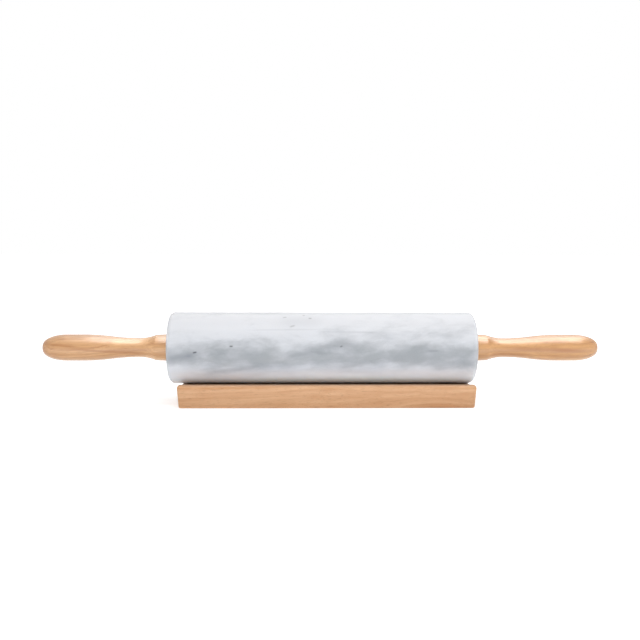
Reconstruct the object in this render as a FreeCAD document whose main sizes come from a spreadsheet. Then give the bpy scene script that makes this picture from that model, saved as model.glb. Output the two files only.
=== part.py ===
"""Marble rolling pin with two turned wooden handles, lying in the trough of its wooden stand.

A marble barrel turns on a steel axle that runs through it from handle to handle. Plastic
bushings line the ends of the stone's bore, the handles are screwed to the axle's studs through
brass inserts, and a washer stands between each handle and its bushing.

The frame belongs to the stand: +X runs along the pin, +Z is up, and the origin lies on the
table under the middle of the pin. Sizes are in millimetres.
"""
import FreeCAD
import Part
import Sketcher
import os

from enum import IntEnum
from FreeCAD import Rotation, Vector

document = FreeCAD.newDocument("rolling_pin")

# Driving sizes, one sheet cell each

SIZES = {
    # marble barrel
    "barrel_length": 250,
    "barrel_dia": 58.6,
    "barrel_edge_round": 3.8,
    # steel axle, a plain rod with a thinner stud at each end
    "rod_dia": 8,
    "stud_shoulder": 1,
    "stud_length": 28,
    "stud_tip_chamfer": 1,
    # plastic bushing at each end of the stone's bore, its flange sunk into the stone
    "bushing_wall": 3.9,
    "bushing_depth": 22,
    "bushing_lead": 1,
    "flange_rim": 2.5,
    "flange_thick": 2,
    "flange_fit": 0.1,
    "rod_clearance": 0.05,
    "bushing_fit": 0.05,
    # steel washer between handle and bushing
    "washer_rim": 4.8,
    "washer_thick": 0.8,
    "washer_clearance": 0.2,
    "end_play": 0.3,
    # brass insert in the handle
    "insert_wall": 1.95,
    "insert_length": 13,
    "insert_fit": 0.05,
    "thread_clearance": 0.05,
    "barb_depth": 0.6,
    "barb_width": 1.2,
    "barb_pitch": 2.4,
    "barb_count": 4,
    # turned handle, measured along the axle from its inner face
    "handle_length": 103.5,
    "collar_dia": 22.2,
    "shoulder_dia": 21.2,
    "collar_length": 10.7,
    "neck_dia": 15.8,
    "neck_from_face": 24.7,
    "grip_dia": 21.8,
    "grip_straight": 14,
    "dome_length": 19.6,
    "tip_flat_dia": 5.4,
    "stud_hole_clearance": 0.2,
    "stud_hole_spare": 4,
    # wooden stand
    "stand_length": 240,
    "stand_width": 64,
    "stand_height": 18.4,
    "stand_shift": 3.6,
    "foot_inset": 1.3,
    "trough_depth": 3.1,
    "lip_land": 6,
    "lip_round": 3.2,
    "edge_round": 1,
    "seat_gap": 0.3,
}

sheet = document.addObject("Spreadsheet::Sheet", "sizes")
for row, (alias, value) in enumerate(SIZES.items(), start=1):
    sheet.set(f"A{row}", alias)
    sheet.set(f"B{row}", str(value))
    sheet.setAlias(f"B{row}", alias)
document.recompute()

# Places that several pieces share, worked out from the sheet

BARREL_END = "sizes.barrel_length / 2"
RECESS_FLOOR = f"{BARREL_END} - sizes.flange_thick"
WASHER_FACE = f"{BARREL_END} + sizes.end_play"
HANDLE_FACE = f"{WASHER_FACE} + sizes.washer_thick"
BUSHING_HOLE = "sizes.rod_dia / 2 + sizes.rod_clearance"
BUSHING_RADIUS = f"{BUSHING_HOLE} + sizes.bushing_wall"
BORE_RADIUS = f"{BUSHING_RADIUS} + sizes.bushing_fit"
FLANGE_RADIUS = f"{BORE_RADIUS} + sizes.flange_rim"
RECESS_RADIUS = f"{FLANGE_RADIUS} + sizes.flange_fit"
STUD_RADIUS = "sizes.rod_dia / 2 - sizes.stud_shoulder"
INSERT_HOLE = f"{STUD_RADIUS} + sizes.thread_clearance"
INSERT_RADIUS = f"{INSERT_HOLE} + sizes.insert_wall"
WASHER_HOLE = "sizes.rod_dia / 2 + sizes.washer_clearance"
TROUGH_BOTTOM = "sizes.stand_height - sizes.trough_depth"
HALF_TROUGH = "(sizes.stand_width / 2 - sizes.lip_land)"
TROUGH_RADIUS = f"{HALF_TROUGH} ^ 2 / (2 * sizes.trough_depth) + sizes.trough_depth / 2"
AXLE_HEIGHT = f"{TROUGH_BOTTOM} + sizes.seat_gap + sizes.barrel_dia / 2"

# A curve's points by the sketcher's numbers; the sketch's own origin is the start of curve -1

START, END, CENTRE = IntEnum("Point", "START END CENTRE")
ORIGIN = (-1, START)

SIDES = {"left": 180, "right": 0}
NEAR = 0.001


# Helpers for bodies, sketches and features


def mm(expression):
    """Value of an expression over the sheet."""
    return float(sheet.evalExpression(expression))


def new_body(label):
    body = document.addObject("PartDesign::Body", label)
    body.Label = label
    return body


def origin_plane(body, role):
    return next(item for item in body.Origin.OriginFeatures if item.Role == role)


def new_sketch(body, name, role):
    sketch = body.newObject("Sketcher::SketchObject", f"{body.Label}_{name}")
    sketch.AttachmentSupport = [(origin_plane(body, role), "")]
    sketch.MapMode = "FlatFace"
    return sketch


def new_feature(body, kind, name, profile=None):
    feature = body.newObject(f"PartDesign::{kind}", f"{body.Label}_{name}")
    if profile:
        feature.Profile = profile
    return feature


def bind(sketch, constraint, expression):
    """Add a dimension and tie it to the sheet."""
    index = sketch.addConstraint(constraint)
    sketch.setExpression(f"Constraints[{index}]", expression)


def place_point(sketch, curve, end, x, y):
    """Dimension one point of a curve from the sketch's origin."""
    for kind, level, expression in (("DistanceX", "Vertical", x), ("DistanceY", "Horizontal", y)):
        if expression == "0":
            sketch.addConstraint(Sketcher.Constraint(level, *ORIGIN, curve, end))
        else:
            distance = Sketcher.Constraint(kind, *ORIGIN, curve, end, mm(expression))
            bind(sketch, distance, expression)


def polygon(sketch, corners):
    """Closed polygon whose corners are dimensioned from the sketch's origin."""
    points = [Vector(mm(x), mm(y), 0) for x, y in corners]
    for start, end in zip(points, points[1:] + points[:1]):
        sketch.addGeometry(Part.LineSegment(start, end))
    for line, (x, y) in enumerate(corners):
        before = (line - 1) % len(corners)
        sketch.addConstraint(Sketcher.Constraint("Coincident", before, END, line, START))
        place_point(sketch, line, START, x, y)


def rectangle(sketch, length, width):
    """Rectangle with its middle on the sketch's origin."""
    x, y = mm(length) / 2, mm(width) / 2
    corners = [Vector(-x, -y, 0), Vector(x, -y, 0), Vector(x, y, 0), Vector(-x, y, 0)]
    for start, end in zip(corners, corners[1:] + corners[:1]):
        sketch.addGeometry(Part.LineSegment(start, end))
    front, right, back, left = range(4)
    for before, after in ((front, right), (right, back), (back, left), (left, front)):
        sketch.addConstraint(Sketcher.Constraint("Coincident", before, END, after, START))
    for line, lie in ((front, "Horizontal"), (right, "Vertical"), (back, "Horizontal"), (left, "Vertical")):
        sketch.addConstraint(Sketcher.Constraint(lie, line))
    sketch.addConstraint(Sketcher.Constraint("Symmetric", front, START, back, START, *ORIGIN))
    bind(sketch, Sketcher.Constraint("DistanceX", front, START, front, END, mm(length)), length)
    bind(sketch, Sketcher.Constraint("DistanceY", right, START, right, END, mm(width)), width)


def circle(sketch, radius, height="0"):
    """Circle whose centre stands on the sketch's vertical axis."""
    ring = Part.Circle(Vector(0, mm(height), 0), Vector(0, 0, 1), mm(radius))
    curve = sketch.addGeometry(ring)
    place_point(sketch, curve, CENTRE, "0", height)
    bind(sketch, Sketcher.Constraint("Radius", curve, mm(radius)), radius)


def cut_through(body, name, sketch):
    """Cut a section right through a body, both ways from its sketch."""
    cut = new_feature(body, "Pocket", name, sketch)
    cut.SideType = "Symmetric"
    cut.Type = "ThroughAll"
    return cut


def turn(body, kind, name, sketch):
    """Full turn of a half outline about the axle's line."""
    feature = new_feature(body, kind, name, sketch)
    feature.ReferenceAxis = (sketch, ["H_Axis"])
    feature.Angle = 360
    return feature


def mirror_ends(body, name, feature):
    """Repeat a feature of one end at the other end."""
    mirrored = new_feature(body, "Mirrored", name)
    mirrored.Originals = [feature]
    mirrored.MirrorPlane = (origin_plane(body, "YZ_Plane"), [""])
    body.Tip = mirrored
    return mirrored


def faces_towards(feature, direction):
    """Names of a feature's flat faces that look the given way."""
    faces = enumerate(feature.Shape.Faces, start=1)
    return [f"Face{number}" for number, face in faces if face.normalAt(0, 0).isEqual(direction, NEAR)]


def round_edges(body, base, name, radius, accept):
    """Round the edges of the body's last feature that a test accepts."""
    document.recompute()
    edges = enumerate(base.Shape.Edges, start=1)
    fillet = new_feature(body, "Fillet", name)
    fillet.Base = (base, [f"Edge{number}" for number, edge in edges if accept(edge)])
    fillet.setExpression("Radius", radius)
    return fillet


def put_on_axle(body, distance="0", turned=0):
    """Seat a body on the axle's line, at a distance from the middle and turned about +Z."""
    sign = "-" if turned else ""
    body.Placement.Rotation = Rotation(Vector(0, 0, 1), turned)
    body.setExpression("Placement.Base.x", f"{sign}({distance})")
    body.setExpression("Placement.Base.z", AXLE_HEIGHT)


# Pieces


def make_barrel():
    """Polished stone cylinder with a straight bore, a recess at each end of it and rounded rims."""
    body = new_body("marble_barrel")
    section = new_sketch(body, "section", "YZ_Plane")
    circle(section, "sizes.barrel_dia / 2")
    stone = new_feature(body, "Pad", "stone", section)
    stone.SideType = "Symmetric"
    stone.setExpression("Length", "sizes.barrel_length")

    bore_section = new_sketch(body, "bore_section", "YZ_Plane")
    circle(bore_section, BORE_RADIUS)
    cut_through(body, "bore", bore_section)

    recess_section = new_sketch(body, "recess_section", "XZ_Plane")
    polygon(recess_section, [
        (RECESS_FLOOR, BUSHING_HOLE),
        (BARREL_END, BUSHING_HOLE),
        (BARREL_END, RECESS_RADIUS),
        (RECESS_FLOOR, RECESS_RADIUS),
    ])
    recess = turn(body, "Groove", "recess", recess_section)
    recesses = mirror_ends(body, "recesses", recess)

    def is_rim(edge):
        return edge.Closed and abs(edge.Curve.Radius - mm("sizes.barrel_dia / 2")) < NEAR

    round_edges(body, recesses, "rims", "sizes.barrel_edge_round", is_rim)
    put_on_axle(body)
    return body


def make_bushing(side, turned):
    """Flanged sleeve: its spigot fills the end of the bore, its flange fills the recess."""
    body = new_body(f"{side}_bushing")
    sketch = new_sketch(body, "outline", "XZ_Plane")
    polygon(sketch, [
        ("0", BUSHING_HOLE),
        ("sizes.bushing_depth + sizes.flange_thick", BUSHING_HOLE),
        ("sizes.bushing_depth + sizes.flange_thick", FLANGE_RADIUS),
        ("sizes.bushing_depth", FLANGE_RADIUS),
        ("sizes.bushing_depth", BUSHING_RADIUS),
        ("sizes.bushing_lead", BUSHING_RADIUS),
        ("0", f"{BUSHING_RADIUS} - sizes.bushing_lead / 2"),
    ])
    turn(body, "Revolution", "sleeve", sketch)
    put_on_axle(body, f"{RECESS_FLOOR} - sizes.bushing_depth", turned)
    return body


def make_rod():
    """Axle: a plain rod between two shoulders, with a thinner stud beyond each of them."""
    body = new_body("axle_rod")
    sketch = new_sketch(body, "half_outline", "XZ_Plane")
    tip = f"{HANDLE_FACE} + sizes.stud_length"
    polygon(sketch, [
        ("0", "0"),
        (tip, "0"),
        (tip, f"{STUD_RADIUS} - sizes.stud_tip_chamfer"),
        (f"{tip} - sizes.stud_tip_chamfer", STUD_RADIUS),
        (HANDLE_FACE, STUD_RADIUS),
        (HANDLE_FACE, "sizes.rod_dia / 2"),
        ("0", "sizes.rod_dia / 2"),
    ])
    half = turn(body, "Revolution", "half", sketch)
    mirror_ends(body, "whole", half)
    put_on_axle(body)
    return body


def make_washer(side, turned):
    """Flat ring, loose on the rod, against the handle's inner face."""
    body = new_body(f"{side}_washer")
    sketch = new_sketch(body, "ring", "YZ_Plane")
    circle(sketch, f"{WASHER_HOLE} + sizes.washer_rim")
    circle(sketch, WASHER_HOLE)
    ring = new_feature(body, "Pad", "plate", sketch)
    ring.setExpression("Length", "sizes.washer_thick")
    put_on_axle(body, WASHER_FACE, turned)
    return body


def make_insert(side, turned):
    """Barbed sleeve that gives the wood a metal thread, flush with the handle's inner face."""
    body = new_body(f"{side}_insert")
    sketch = new_sketch(body, "outline", "XZ_Plane")
    polygon(sketch, [
        ("0", INSERT_HOLE),
        ("sizes.insert_length", INSERT_HOLE),
        ("sizes.insert_length", INSERT_RADIUS),
        ("0", INSERT_RADIUS),
    ])
    turn(body, "Revolution", "sleeve", sketch)

    notch = new_sketch(body, "notch", "XZ_Plane")
    first = "(sizes.insert_length - (sizes.barb_count - 1) * sizes.barb_pitch - sizes.barb_width) / 2"
    polygon(notch, [
        (first, INSERT_RADIUS),
        (f"{first} + sizes.barb_width", f"{INSERT_RADIUS} - sizes.barb_depth"),
        (f"{first} + sizes.barb_width", INSERT_RADIUS),
    ])
    barb = turn(body, "Groove", "barb", notch)
    barbs = new_feature(body, "LinearPattern", "barbs")
    barbs.Originals = [barb]
    barbs.Direction = (notch, ["H_Axis"])
    barbs.setExpression("Length", "(sizes.barb_count - 1) * sizes.barb_pitch")
    barbs.setExpression("Occurrences", "sizes.barb_count")
    body.Tip = barbs
    put_on_axle(body, HANDLE_FACE, turned)
    return body


def draw_handle_outline(sketch):
    """Half outline of the handle: collar, flared neck, swelling grip and domed tip."""
    length = "sizes.handle_length"
    grip_end = f"{length} - sizes.dome_length"
    grip_start = f"{grip_end} - sizes.grip_straight"
    corners = {
        "foot": ("0", "0"),
        "face": ("0", "sizes.collar_dia / 2"),
        "shoulder": ("sizes.collar_length", "sizes.shoulder_dia / 2"),
        "neck": ("sizes.neck_from_face", "sizes.neck_dia / 2"),
        "grip_start": (grip_start, "sizes.grip_dia / 2"),
        "grip_end": (grip_end, "sizes.grip_dia / 2"),
        "tip": (length, "sizes.tip_flat_dia / 2"),
        "nose": (length, "0"),
    }
    at = {name: Vector(mm(x), mm(y), 0) for name, (x, y) in corners.items()}

    def line(start, end):
        return sketch.addGeometry(Part.LineSegment(at[start], at[end]))

    def arc(centre, start, end):
        whole = Part.Circle(centre, Vector(0, 0, 1), centre.distanceToPoint(start))
        return sketch.addGeometry(Part.ArcOfCircle(whole, whole.parameter(start), whole.parameter(end)))

    run = at["shoulder"] - at["neck"]
    flare_centre = at["neck"] + Vector(0, run.dot(run) / (2 * run.y), 0)
    rise = at["grip_start"] - at["neck"]
    swell_radius = rise.dot(rise) / (4 * rise.y)
    middle = (at["neck"] + at["grip_start"]) / 2
    dome_top = Vector(at["grip_end"].x, at["tip"].y, 0)

    face = line("foot", "face")
    collar = line("face", "shoulder")
    flare = arc(flare_centre, at["shoulder"], at["neck"])
    waist = arc(at["neck"] + Vector(0, swell_radius, 0), at["neck"], middle)
    swell = arc(at["grip_start"] - Vector(0, swell_radius, 0), at["grip_start"], middle)
    grip = line("grip_start", "grip_end")
    ellipse = Part.Ellipse(at["tip"], at["grip_end"], dome_top)
    dome = sketch.addGeometry(
        Part.ArcOfEllipse(ellipse, ellipse.parameter(at["tip"]), ellipse.parameter(at["grip_end"]))
    )
    nose = line("tip", "nose")
    core = line("nose", "foot")

    joints = (
        ("Coincident", face, END, collar, START),
        ("Coincident", collar, END, flare, START),
        ("Coincident", flare, END, waist, START),
        ("Tangent", waist, END, swell, END),
        ("Coincident", swell, START, grip, START),
        ("Tangent", grip, END, dome, END),
        ("Coincident", dome, START, nose, START),
        ("Coincident", nose, END, core, START),
        ("Coincident", core, END, face, START),
        ("Vertical", flare, CENTRE, flare, END),
        ("Vertical", waist, CENTRE, waist, START),
        ("Vertical", swell, CENTRE, swell, START),
        ("Equal", waist, swell),
        ("Vertical", dome, CENTRE, grip, END),
        ("Horizontal", dome, CENTRE, nose, START),
    )
    for joint in joints:
        sketch.addConstraint(Sketcher.Constraint(*joint))
    held = {
        "foot": (face, START),
        "face": (collar, START),
        "shoulder": (collar, END),
        "neck": (waist, START),
        "grip_start": (grip, START),
        "grip_end": (grip, END),
        "tip": (nose, START),
        "nose": (core, START),
    }
    for name, (curve, end) in held.items():
        place_point(sketch, curve, end, *corners[name])


def make_handle(side, turned):
    """Turned handle with a pocket for the insert and a deeper hole for the stud."""
    body = new_body(f"{side}_handle")
    sketch = new_sketch(body, "outline", "XZ_Plane")
    draw_handle_outline(sketch)
    turn(body, "Revolution", "wood", sketch)

    holes = {
        "insert_pocket": (f"{INSERT_RADIUS} + sizes.insert_fit", "sizes.insert_length"),
        "stud_hole": (
            f"{STUD_RADIUS} + sizes.stud_hole_clearance",
            "sizes.stud_length + sizes.stud_hole_spare",
        ),
    }
    for name, (radius, depth) in holes.items():
        mouth = new_sketch(body, f"{name}_mouth", "YZ_Plane")
        circle(mouth, radius)
        hole = new_feature(body, "Pocket", name, mouth)
        hole.Reversed = True
        hole.setExpression("Length", depth)
    put_on_axle(body, HANDLE_FACE, turned)
    return body


def make_stand():
    """Solid block, narrower at the foot, with a shallow round trough along its top."""
    body = new_body("wooden_stand")
    outline = new_sketch(body, "outline", "XY_Plane")
    rectangle(outline, "sizes.stand_length", "sizes.stand_width")
    block = new_feature(body, "Pad", "block", outline)
    block.setExpression("Length", "sizes.stand_height")
    document.recompute()

    lean = new_feature(body, "Draft", "lean")
    sides = [Vector(1, 0, 0), Vector(-1, 0, 0), Vector(0, 1, 0), Vector(0, -1, 0)]
    lean.Base = (block, [name for side in sides for name in faces_towards(block, side)])
    lean.NeutralPlane = (block, faces_towards(block, Vector(0, 0, 1)))
    lean.Reversed = True
    lean.setExpression("Angle", "atan(sizes.foot_inset / sizes.stand_height)")

    trough_section = new_sketch(body, "trough_section", "YZ_Plane")
    circle(trough_section, TROUGH_RADIUS, f"{TROUGH_BOTTOM} + {TROUGH_RADIUS}")
    trough = cut_through(body, "trough", trough_section)

    def is_lip(edge):
        """The top edge along the outside of either lip."""
        box = edge.BoundBox
        along = box.XLength > box.YLength and box.ZMin > mm("sizes.stand_height") - NEAR
        return along and abs(box.Center.y) > mm(HALF_TROUGH) + NEAR

    lip_radius = "min(sizes.lip_round; sizes.lip_land - 2 * sizes.edge_round)"
    lips = round_edges(body, trough, "lips", lip_radius, is_lip)
    eased = new_feature(body, "Fillet", "eased_edges")
    eased.Base = (lips, [""])
    eased.UseAllEdges = True
    eased.setExpression("Radius", "sizes.edge_round")
    body.setExpression("Placement.Base.x", "sizes.stand_shift")
    return body


nodes = [make_barrel(), make_rod(), make_stand()]
for side, turned in SIDES.items():
    for make in (make_bushing, make_washer, make_insert, make_handle):
        nodes.append(make(side, turned))
document.recompute()

# Checks before anything is written

for item in document.Objects:
    if "Invalid" in item.State or "Error" in item.State:
        raise RuntimeError(f"{item.Label} failed: {item.State}")
    if item.TypeId in ("PartDesign::Pocket", "PartDesign::Groove"):
        if item.Shape.Volume > item.BaseFeature.Shape.Volume - NEAR:
            raise RuntimeError(f"{item.Label} cuts nothing")
for node in nodes:
    shape = node.Shape
    if shape.isNull() or not shape.isValid() or len(shape.Solids) != 1:
        raise RuntimeError(f"{node.Label} is not one valid solid")

os.makedirs("parts", exist_ok=True)
for node in nodes:
    node.Shape.exportStep(f"parts/{node.Label}.step")
    box = node.Shape.optimalBoundingBox()
    print(f"{node.Label:15s} {node.Shape.Volume:10.1f} mm3  x {box.XMin:.2f} to {box.XMax:.2f}"
          f"  y {box.YMin:.2f} to {box.YMax:.2f}  z {box.ZMin:.2f} to {box.ZMax:.2f}")
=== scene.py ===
# %% [markdown]
# # A marble rolling pin on its wooden stand
#
# The pin is a polished stone barrel that turns on a steel axle between two turned wooden
# handles, and it lies in the shallow trough of a wooden block. The solids of all its pieces
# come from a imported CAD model. This lesson gives clean meshes and finishes to the pieces that
# show: marble with soft grey clouds, and pale hardwood under a satin lacquer.

import math

import bmesh
import bpy
from mathutils import Matrix, Vector


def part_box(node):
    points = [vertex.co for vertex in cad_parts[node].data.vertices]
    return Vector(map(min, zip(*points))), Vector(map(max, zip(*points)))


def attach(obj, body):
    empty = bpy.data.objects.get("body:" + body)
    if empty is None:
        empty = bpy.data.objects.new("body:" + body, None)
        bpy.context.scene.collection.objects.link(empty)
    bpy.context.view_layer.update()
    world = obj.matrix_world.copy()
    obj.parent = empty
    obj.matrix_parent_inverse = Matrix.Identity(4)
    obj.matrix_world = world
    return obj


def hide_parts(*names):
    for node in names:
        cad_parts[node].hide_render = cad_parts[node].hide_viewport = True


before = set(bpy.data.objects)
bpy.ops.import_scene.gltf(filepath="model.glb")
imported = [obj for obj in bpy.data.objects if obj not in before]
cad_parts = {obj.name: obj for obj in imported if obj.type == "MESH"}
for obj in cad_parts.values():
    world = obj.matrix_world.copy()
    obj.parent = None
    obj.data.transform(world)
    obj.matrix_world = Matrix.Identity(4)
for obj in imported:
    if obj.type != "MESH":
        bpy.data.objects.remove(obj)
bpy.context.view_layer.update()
scene = bpy.context.scene
MM = 0.001
print("nodes:", sorted(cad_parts))

# %% [markdown]
# ## The camera
#
# A photographer of small goods stands a little back and a little above the table, so the
# front of the pin shows and its top only just. The camera comes first, because every later
# look at the scene is taken through it. Its place could be set by eye, but a lens length,
# a place and two angles that were fitted to the ends of the barrel, the handles and the
# stand hold all of them at once.

# %% Camera
SENSOR_WIDTH = 36.0
LENS = 46.32
CAMERA_PLACE = (-0.0170, -0.6782, 0.1348)
LOOKING_DOWN = 5.63
TURNED_RIGHT = 1.29
ROLLED = 0.19

camera_lens = bpy.data.cameras.new("photo_camera")
camera_lens.sensor_fit = "HORIZONTAL"
camera_lens.sensor_width = SENSOR_WIDTH
camera_lens.lens = LENS
camera = bpy.data.objects.new("photo_camera", camera_lens)
camera.location = CAMERA_PLACE
aim = Matrix.Rotation(math.radians(-TURNED_RIGHT), 4, "Z")
aim @= Matrix.Rotation(math.radians(90 - LOOKING_DOWN), 4, "X")
aim @= Matrix.Rotation(math.radians(ROLLED), 4, "Z")
camera.rotation_euler = aim.to_euler()
scene.collection.objects.link(camera)
scene.camera = camera
print("camera at", CAMERA_PLACE, "with a lens of", LENS, "mm")

# %% [markdown]
# ## From a bmesh to a piece
#
# No outer edge of stone or wood is left sharp, so one helper rounds edges with a bevel. Every
# new piece also ends in the same way: stray doubles are merged, the faces are turned to point
# outwards, and curved faces are shaded smooth while true corners stay crisp. Then the piece
# takes the place of its CAD node and rides on the same body, so it follows the joints. A
# second helper does this for all of them.

# %% Helper that rounds edges
ROUND_PROFILE = 0.5


def round_edges(shape, edges, radius, steps):
    """Bevel some edges to a quarter round."""
    bmesh.ops.bevel(
        shape,
        geom=edges,
        offset=radius,
        segments=steps,
        profile=ROUND_PROFILE,
        affect="EDGES",
        material=-1,
    )
    print("rounded", len(edges), "edges by", radius)


# %% Helper that finishes a piece
CORNER_ANGLE = math.radians(35)
WELD = 1e-7
SAME_PLACE = 10 * WELD


def finish_piece(shape, name, node, body):
    """Turn a bmesh into an object that stands for a CAD node."""
    bmesh.ops.remove_doubles(shape, verts=shape.verts, dist=WELD)
    bmesh.ops.recalc_face_normals(shape, faces=shape.faces)
    mesh = bpy.data.meshes.new(name)
    shape.to_mesh(mesh)
    shape.free()
    mesh.shade_smooth()
    mesh.set_sharp_from_angle(angle=CORNER_ANGLE)
    piece = bpy.data.objects.new(name, mesh)
    scene.collection.objects.link(piece)
    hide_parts(node)
    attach(piece, body)
    print(name, "has", len(mesh.vertices), "vertices and", len(mesh.polygons), "faces")
    return piece


# %% [markdown]
# ## The marble barrel
#
# The stone is sawn and ground to a cylinder, its rims are rounded, and a bore is drilled
# through it for the axle. A lathe outline could be spun, but following the mason is just
# as short: make a cylinder, bevel its two rims, inset the flat ends down to the bore and
# bridge the two inner rings into a tunnel.

# %% Cylinder with rounded rims
RIM_ROUND = 3.8 * MM
RECESS_RADIUS = 10.6 * MM
RECESS_DEPTH = 2 * MM
BORE_RADIUS = 8 * MM
BARREL_SIDES = 128
RIM_STEPS = 10

barrel_low, barrel_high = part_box("marble_barrel")
barrel_length = barrel_high.x - barrel_low.x
barrel_radius = (barrel_high.z - barrel_low.z) / 2
axle_height = (barrel_high.z + barrel_low.z) / 2
on_axle = Matrix.Translation((0, 0, axle_height))

stone = bmesh.new()
bmesh.ops.create_cone(
    stone,
    cap_ends=True,
    segments=BARREL_SIDES,
    radius1=barrel_radius,
    radius2=barrel_radius,
    depth=barrel_length,
    matrix=on_axle @ Matrix.Rotation(math.pi / 2, 4, "Y"),
)
rims = [edge for edge in stone.edges if edge.calc_length() < barrel_radius]
round_edges(stone, rims, RIM_ROUND, RIM_STEPS)
print("barrel", barrel_length, "long,", barrel_radius, "in radius, axle at", axle_height)

# %% Bore through the stone
RIM_SUPPORT = 0.5 * MM
RINGS_PER_SIDE = 5

ends = [face for face in stone.faces if len(face.verts) > 4]
bmesh.ops.inset_individual(stone, faces=ends, thickness=RIM_SUPPORT)
flat_radius = barrel_radius - RIM_ROUND - RIM_SUPPORT
side_to_corner = math.cos(math.pi / BARREL_SIDES)
to_recess = (flat_radius - RECESS_RADIUS) * side_to_corner
to_bore = (RECESS_RADIUS - BORE_RADIUS) * side_to_corner
bmesh.ops.inset_individual(stone, faces=ends, thickness=to_recess)
bmesh.ops.inset_individual(stone, faces=ends, depth=-RECESS_DEPTH)
bmesh.ops.inset_individual(stone, faces=ends, thickness=to_bore)
bmesh.ops.delete(stone, geom=ends, context="FACES_ONLY")
mouths = [edge for edge in stone.edges if edge.is_boundary]
bmesh.ops.bridge_loops(stone, edges=mouths)
print("bore of radius", BORE_RADIUS, "between mouths of", len(mouths), "edges")

# %% Rings along the stone
# They keep the quads short, and the one beside each rim keeps the rim's shading there
last_ring = barrel_length / 2 - RIM_ROUND - RIM_SUPPORT
for ring in range(-RINGS_PER_SIDE, RINGS_PER_SIDE + 1):
    place = ring / RINGS_PER_SIDE * last_ring
    everything = stone.verts[:] + stone.edges[:] + stone.faces[:]
    bmesh.ops.bisect_plane(stone, geom=everything, plane_co=(place, 0, 0), plane_no=(1, 0, 0))
barrel = finish_piece(stone, "stone_barrel", "marble_barrel", "barrel")

# %% [markdown]
# ## The turned handles
#
# A turner holds a template against the wood: a short collar, a flared neck, a swelling grip
# and a domed tip. The template is drawn here with a pen that knows two strokes. A line is a
# vertex extruded to a new place, and an arc is a vertex spun about a centre. The finished
# outline is then spun once round the axle, as on a lathe.

# %% Pen for outlines
CROSSWAYS = (0, 1, 0)


def draw_line(shape, vertex, along, radius):
    """Extrude the outline's last vertex to a new place."""
    drawn = bmesh.ops.extrude_vert_indiv(shape, verts=[vertex])["verts"][0]
    drawn.co = (along, 0, radius)
    return drawn


def draw_arc(shape, vertex, centre, angle, steps):
    """Spin the outline's last vertex about a centre, and return all the new vertices."""
    before = set(shape.verts)
    bmesh.ops.spin(
        shape,
        geom=[vertex],
        cent=(centre[0], 0, centre[1]),
        axis=CROSSWAYS,
        angle=angle,
        steps=steps,
    )
    return sorted(set(shape.verts) - before, key=lambda drawn: drawn.co.x)


# %% Sizes of the handle
# Each place is along the axle from the handle's inner face, and out from the axle
STUD_HOLE_END = 32 * MM
STUD_HOLE_RADIUS = 3.2 * MM
POCKET_END = 13 * MM
POCKET_RADIUS = 5.05 * MM
FACE = Vector((0, 11.1)) * MM
SHOULDER = Vector((10.7, 10.6)) * MM
NECK = Vector((24.7, 7.9)) * MM
GRIP_START = Vector((69.9, 10.9)) * MM
GRIP_END = Vector((83.9, 10.9)) * MM
TIP = Vector((103.5, 2.7)) * MM
FACE_EASE = 0.5 * MM
FACE_STEPS = 3
SHOULDER_EASE = 0.3 * MM
SHOULDER_STEPS = 2
FLARE_STEPS = 12
SWELL_STEPS = 8
DOME_STEPS = 14
TURNS = 72

flare = SHOULDER - NECK
flare_radius = flare.length_squared / (2 * flare.y)
flare_angle = math.asin(-flare.x / flare_radius)
swell = GRIP_START - NECK
swell_radius = swell.length_squared / (4 * swell.y)
swell_angle = math.asin(swell.x / 2 / swell_radius)
print("flare radius", flare_radius, "swell radius", swell_radius)


# %% Template
def draw_template():
    """Draw half the outline of a handle, from the stud hole round to the tip."""
    wood = bmesh.new()
    pen = wood.verts.new((STUD_HOLE_END, 0, 0))
    pen = draw_line(wood, pen, STUD_HOLE_END, STUD_HOLE_RADIUS)
    pen = draw_line(wood, pen, POCKET_END, STUD_HOLE_RADIUS)
    pen = draw_line(wood, pen, POCKET_END, POCKET_RADIUS)
    pen = draw_line(wood, pen, 0, POCKET_RADIUS)
    pen = draw_line(wood, pen, *FACE)
    pen = draw_line(wood, pen, *SHOULDER)
    flare_centre = NECK + Vector((0, flare_radius))
    pen = draw_arc(wood, pen, flare_centre, -flare_angle, FLARE_STEPS)[-1]
    hollow_centre = NECK + Vector((0, swell_radius))
    pen = draw_arc(wood, pen, hollow_centre, -swell_angle, SWELL_STEPS)[-1]
    grip_centre = GRIP_START - Vector((0, swell_radius))
    pen = draw_arc(wood, pen, grip_centre, swell_angle, SWELL_STEPS)[-1]
    pen = draw_line(wood, pen, *GRIP_END)
    dome = draw_arc(wood, pen, (GRIP_END.x, TIP.y), math.pi / 2, DOME_STEPS)
    stretch = (TIP.x - GRIP_END.x) / (GRIP_END.y - TIP.y)
    from_grip = Matrix.Translation((-GRIP_END.x, 0, 0))
    bmesh.ops.scale(wood, vec=(stretch, 1, 1), space=from_grip, verts=dome)
    draw_line(wood, dome[-1], TIP.x, 0)
    print("template of", len(wood.verts), "points")
    return wood


# %% Lathe
def ease_ring(shape, corner, radius, steps):
    """Round the turned edge that passes through a corner of the template."""

    def lies_on(vertex):
        out = math.hypot(vertex.co.y, vertex.co.z)
        return abs(vertex.co.x - corner[0]) < SAME_PLACE and abs(out - corner[1]) < SAME_PLACE

    ring = [edge for edge in shape.edges if all(lies_on(vertex) for vertex in edge.verts)]
    round_edges(shape, ring, radius, steps)


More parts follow.
